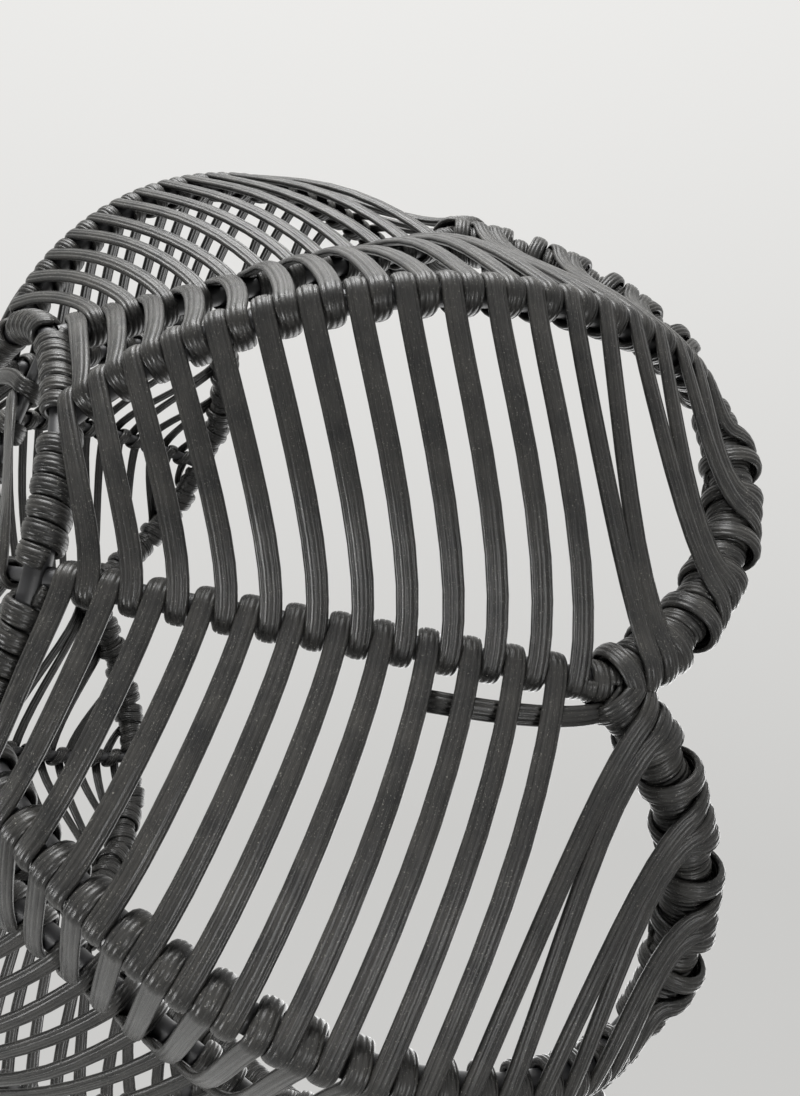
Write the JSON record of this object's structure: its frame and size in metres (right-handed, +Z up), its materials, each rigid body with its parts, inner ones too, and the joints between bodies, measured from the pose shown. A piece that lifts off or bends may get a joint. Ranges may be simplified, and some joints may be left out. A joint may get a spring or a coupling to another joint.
{
  "type": "woven fruit basket",
  "caption": "Open fruit basket with a petal-shaped rim, woven in flat plastic strand on bent wire ribs that stand on a wrapped base ring.",
  "frame": {"origin": "on the floor, under the middle of the base ring", "axes": "+Z up through the basket's mouth, +X through a cusp of the rim"},
  "size_m": [0.2532, 0.2658, 0.113],
  "materials": {
    "black_strand": "satin black extruded plastic strand with fine lengthwise grooves",
    "black_wire": "black powder coat on steel wire"
  },
  "bodies": {
    "root": {"base_hub_ring": "black_wire", "base_ring": "black_wire", "base_ring_wrap": "black_strand", "base_spoke_1": "black_wire", "base_spoke_2": "black_wire", "base_spoke_3": "black_wire", "base_spoke_4": "black_wire", "base_spoke_5": "black_wire", "base_spoke_6": "black_wire", "base_weave": "black_strand", "crest_rib_1": "black_wire", "crest_rib_2": "black_wire", "crest_rib_3": "black_wire", "crest_rib_4": "black_wire", "crest_rib_5": "black_wire", "crest_rib_6": "black_wire", "petal_rim_wire_1": "black_wire", "petal_rim_wire_2": "black_wire", "petal_rim_wire_3": "black_wire", "petal_rim_wire_4": "black_wire", "petal_rim_wire_5": "black_wire", "petal_rim_wire_6": "black_wire", "petal_rim_wrap_1": "black_strand", "petal_rim_wrap_2": "black_strand", "petal_rim_wrap_3": "black_strand", "petal_rim_wrap_4": "black_strand", "petal_rim_wrap_5": "black_strand", "petal_rim_wrap_6": "black_strand", "petal_tip_strand_1": "black_strand", "petal_tip_strand_2": "black_strand", "petal_tip_strand_3": "black_strand", "petal_tip_strand_4": "black_strand", "petal_tip_strand_5": "black_strand", "petal_tip_strand_6": "black_strand", "strand_tail": "black_strand", "valley_rib_1": "black_wire", "valley_rib_2": "black_wire", "valley_rib_3": "black_wire", "valley_rib_4": "black_wire", "valley_rib_5": "black_wire", "valley_rib_6": "black_wire", "wall_strand_course_1": "black_strand", "wall_strand_course_10": "black_strand", "wall_strand_course_11": "black_strand", "wall_strand_course_12": "black_strand", "wall_strand_course_2": "black_strand", "wall_strand_course_3": "black_strand", "wall_strand_course_4": "black_strand", "wall_strand_course_5": "black_strand", "wall_strand_course_6": "black_strand", "wall_strand_course_7": "black_strand", "wall_strand_course_8": "black_strand", "wall_strand_course_9": "black_strand"}
  },
  "joints": []
}
